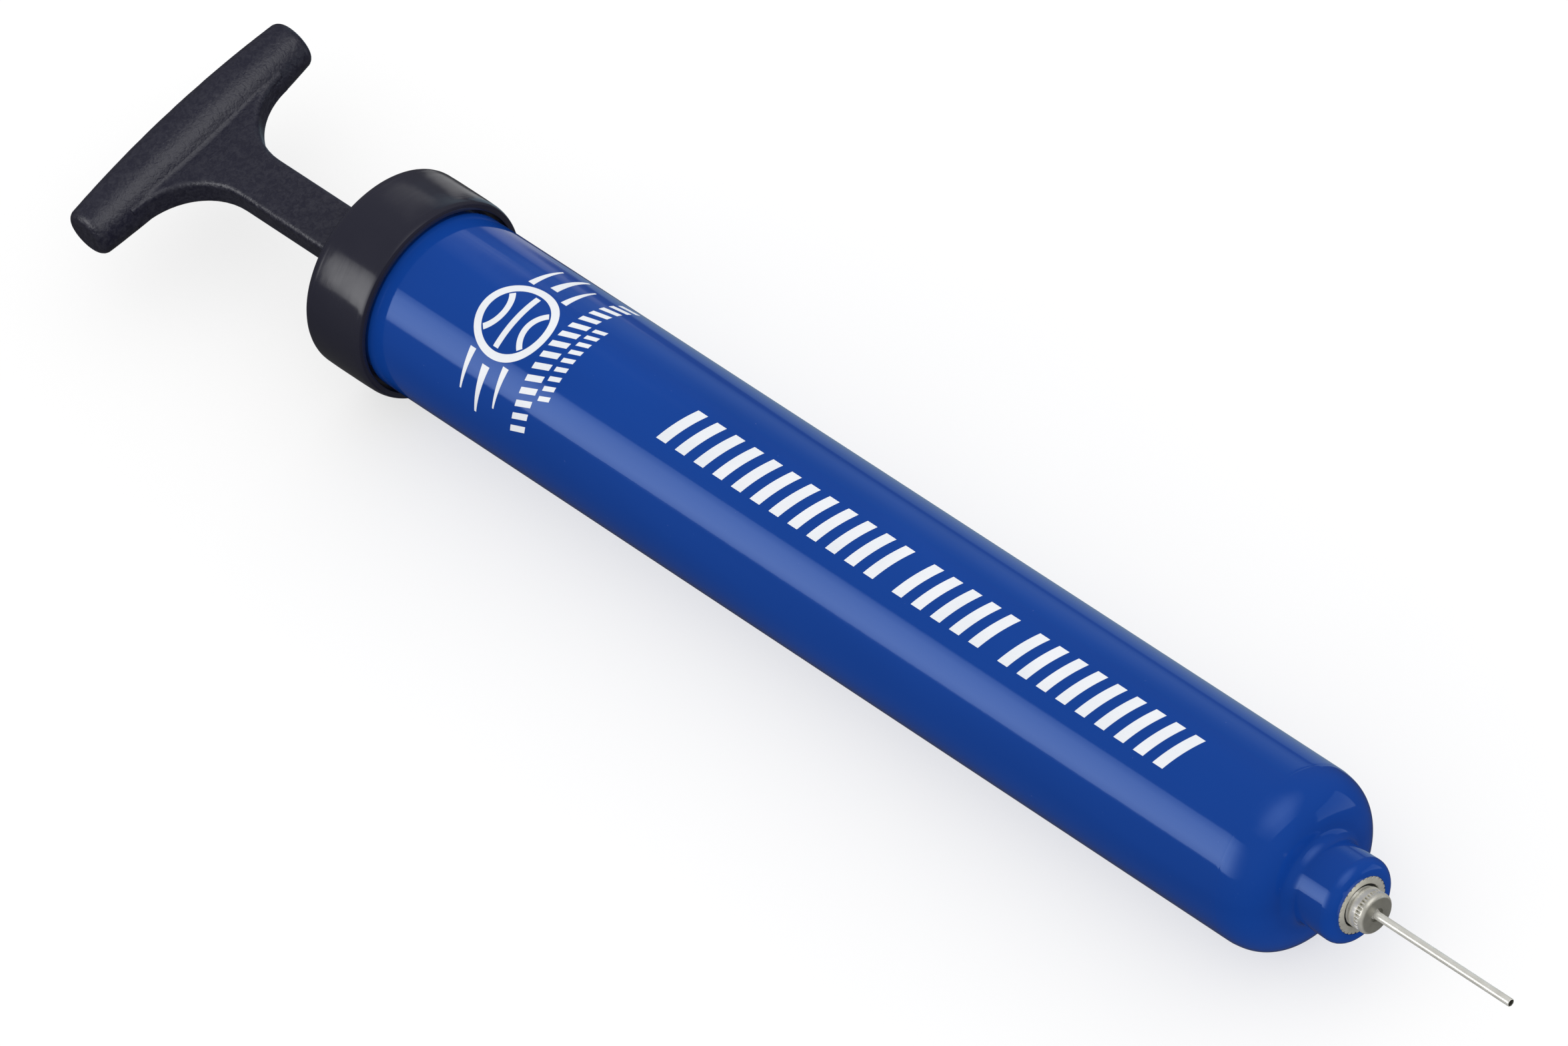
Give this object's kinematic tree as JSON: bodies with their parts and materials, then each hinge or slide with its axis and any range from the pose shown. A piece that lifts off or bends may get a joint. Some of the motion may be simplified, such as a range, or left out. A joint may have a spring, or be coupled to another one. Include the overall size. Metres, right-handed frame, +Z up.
{
  "type": "ball inflation pump",
  "caption": "Hand pump for sports balls: smooth round-nosed blue barrel, gloss black end collar, one-piece T-handle plunger and a screw-in inflation needle.",
  "frame": {"origin": "on the surface that the pump lies on, under the middle of its whole length from T-bar to needle tip, straight below the pump's axis", "axes": "+X along the pump's axis towards the needle, Y along the T-bar, +Z up; the axis is 19.7 mm above the surface, which is the collar's radius"},
  "size_m": [0.3394, 0.054, 0.0394],
  "materials": {
    "barrel_blue": "smooth glossy moulded plastic",
    "collar_black": "smooth glossy moulded plastic",
    "handle_charcoal": "fine spark-eroded grain",
    "piston_white": "natural moulded plastic",
    "steel": "bright zinc-plated steel",
    "nickel_plate": "nickel plating over turned brass",
    "needle_steel": "drawn tube, bright",
    "black_rubber": "matt moulded rubber",
    "print_white": "screen-printed ink, satin"
  },
  "bodies": {
    "barrel": {"barrel": "barrel_blue", "end_collar": "collar_black", "outlet_insert": "nickel_plate", "valve_seat": "black_rubber", "valve_spring": "steel"},
    "plunger": {"plunger": "handle_charcoal", "piston": "piston_white", "piston_screw": "steel", "stop_bumper": "black_rubber"},
    "piston_ring": {"piston_o_ring": "black_rubber"},
    "check_ball": {"valve_ball": "steel"},
    "needle_ring": {"needle_seal_ring": "black_rubber"},
    "needle": {"needle_hub": "nickel_plate", "needle_tube": "needle_steel"}
  },
  "joints": [
    {"name": "plunger_stroke", "type": "slide", "parent": "barrel", "child": "plunger", "axis": [-1, 0, 0], "range_m": [0, 0.1965]},
    {"name": "ring_float", "type": "slide", "parent": "plunger", "child": "piston_ring", "axis": [1, 0, 0], "range_m": [0, 0.00138]},
    {"name": "valve_lift", "type": "slide", "parent": "barrel", "child": "check_ball", "axis": [1, 0, 0], "range_m": [0, 0.001], "stiffness_N_per_m": 150, "springref_m": -0.002, "deforming": ["valve_spring"]},
    {"name": "needle_travel", "type": "slide", "parent": "barrel", "child": "needle_ring", "axis": [1, 0, 0], "range_m": [0, 0.00516]},
    {"name": "needle_turn", "type": "hinge", "parent": "needle_ring", "child": "needle", "pos_m": [0.1342, 0, 0.0197], "axis": [1, 0, 0], "range_deg": [0, 2340]}
  ],
  "couplings": [
    {"joint": "needle_turn", "follows": "needle_travel", "rad_per_m": 7915.8}
  ]
}
